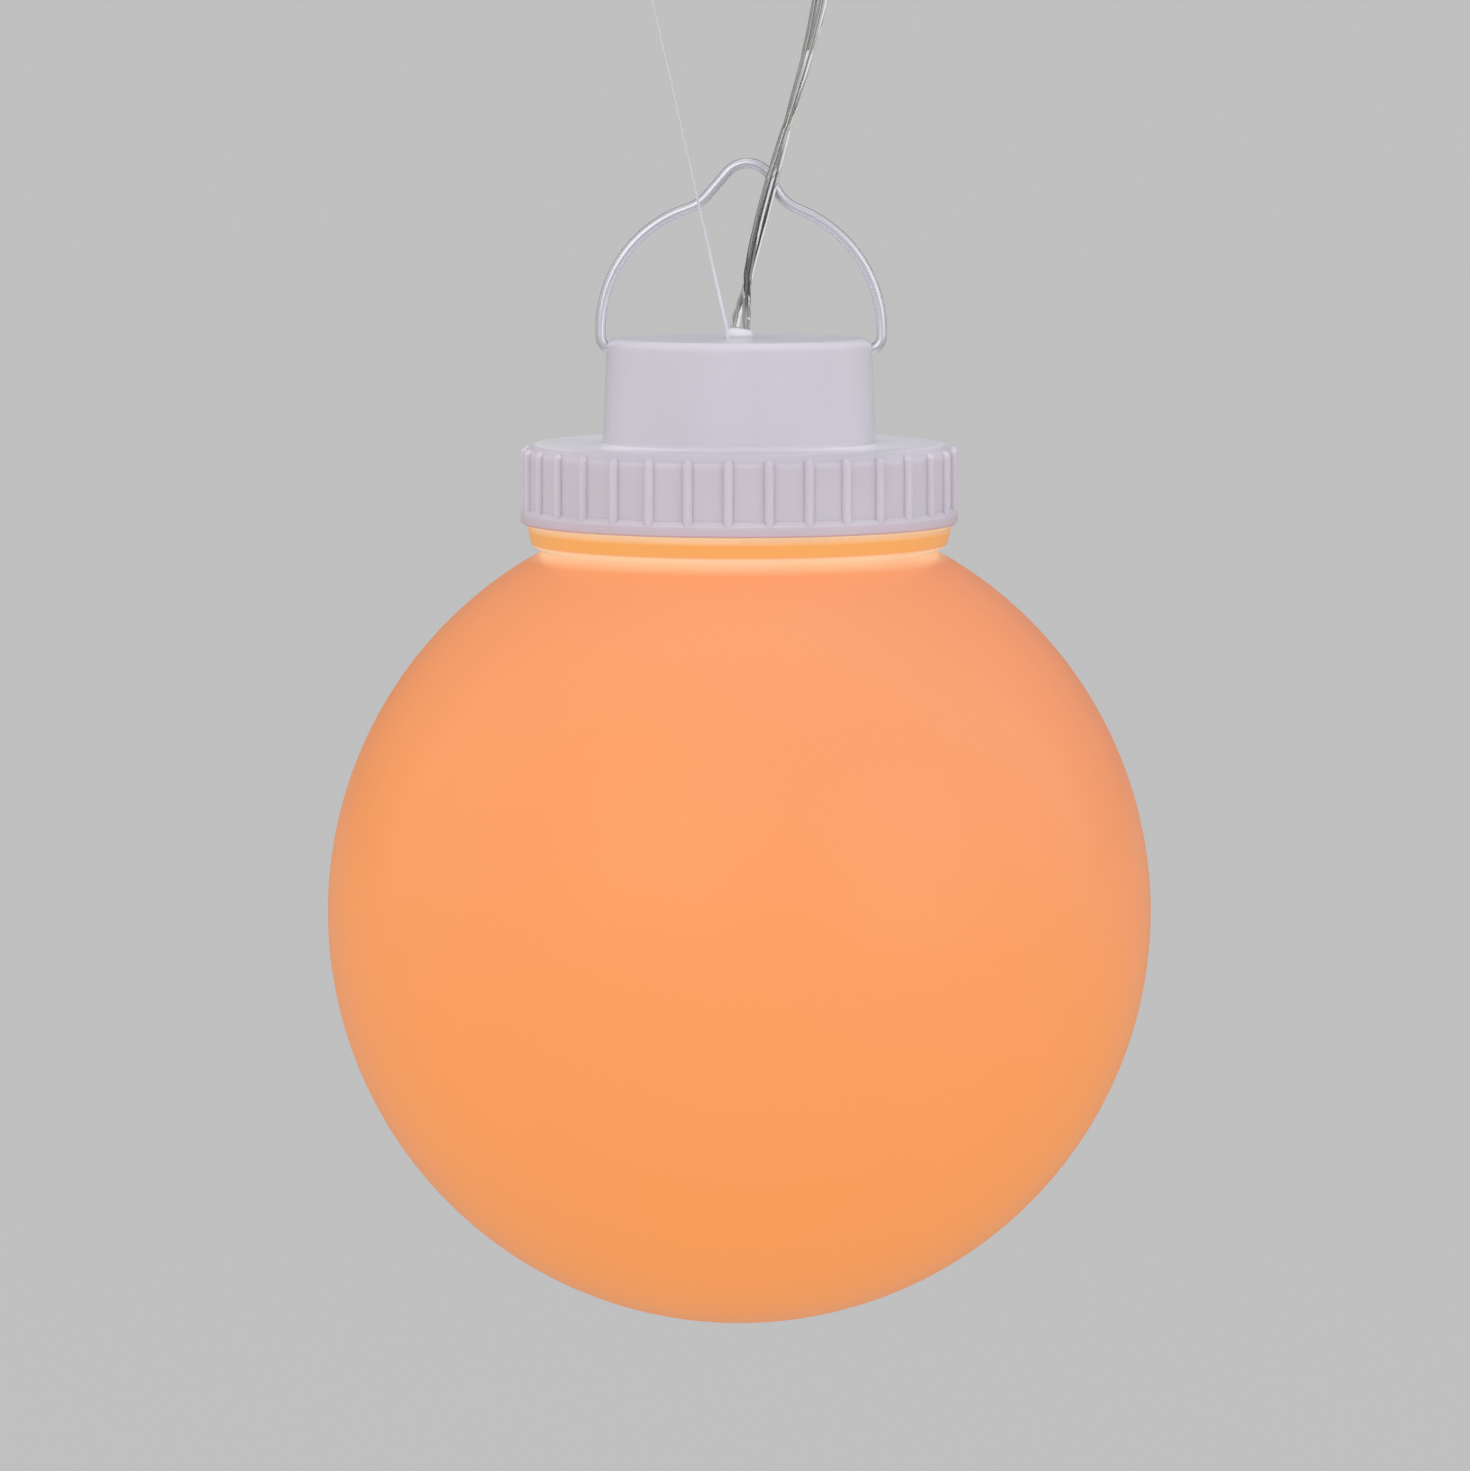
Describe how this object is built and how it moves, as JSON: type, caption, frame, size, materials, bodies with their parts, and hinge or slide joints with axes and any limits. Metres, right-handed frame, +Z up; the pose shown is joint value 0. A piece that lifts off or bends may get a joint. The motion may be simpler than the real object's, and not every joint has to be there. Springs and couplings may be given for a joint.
{
  "type": "hanging led ball light",
  "caption": "Hanging ball light: translucent globe screwed into a ribbed cap with a swinging wire bail, a clear twin cable and a hanging thread.",
  "frame": {"origin": "hang point, on the underside of the bail's crest over the globe's axis", "axes": "+Z up along the globe's axis; +X along the bail towards its right arm; -Y is the front, where the cable and the thread pass the bail"},
  "size_m": [0.15, 0.15, 0.2583],
  "materials": {
    "globe_orange": "translucent satin",
    "cap_white": "translucent satin",
    "bail_coat": "gloss",
    "seal_rubber": "matte",
    "carrier_white": "matte",
    "cover_clear": "clear",
    "screw_steel": "satin",
    "board_white": "satin",
    "led_body": "satin",
    "led_window": "gloss",
    "chip_black": "matte",
    "resistor_dark": "satin",
    "solder": "satin",
    "gland_white": "satin",
    "clip_white": "matte",
    "lead_red": "satin",
    "lead_black": "satin",
    "cable_clear": "clear",
    "fitting_white": "satin",
    "thread_white": "satin"
  },
  "bodies": {
    "cap": {"cap": "cap_white", "lamp_carrier": "carrier_white", "carrier_oring": "seal_rubber", "light_cover": "cover_clear", "cover_screws": "screw_steel", "led_board": "board_white", "board_screws": "screw_steel", "led_chips": "led_body", "led_windows": "led_window", "control_chip": "chip_black", "resistors": "resistor_dark", "solder_joints": "solder", "cable_gland": "gland_white", "strain_clip": "clip_white", "lead_positive": "lead_red", "lead_negative": "lead_black", "cable": "cable_clear", "ceiling_fitting": "fitting_white", "hanging_thread": "thread_white", "thread_stop": "thread_white", "thread_loop": "thread_white"},
    "bail": {"wire_bail": "bail_coat"},
    "seal": {"neck_gasket": "seal_rubber"},
    "globe": {"globe": "globe_orange"}
  },
  "joints": [
    {"name": "bail_swing", "type": "hinge", "parent": "cap", "child": "bail", "pos_m": [0, 0, -0.03231], "axis": [-1, 0, 0], "range_deg": [0, 110]},
    {"name": "globe_lower", "type": "slide", "parent": "cap", "child": "seal", "axis": [0, 0, -1], "range_m": [0, 0.0106]},
    {"name": "globe_unscrew", "type": "hinge", "parent": "seal", "child": "globe", "pos_m": [0, 0, -0.05865], "axis": [0, 0, -1], "range_deg": [0, 1080]}
  ],
  "couplings": [
    {"joint": "globe_lower", "follows": "globe_unscrew", "m_per_rad": 0.00055704}
  ]
}
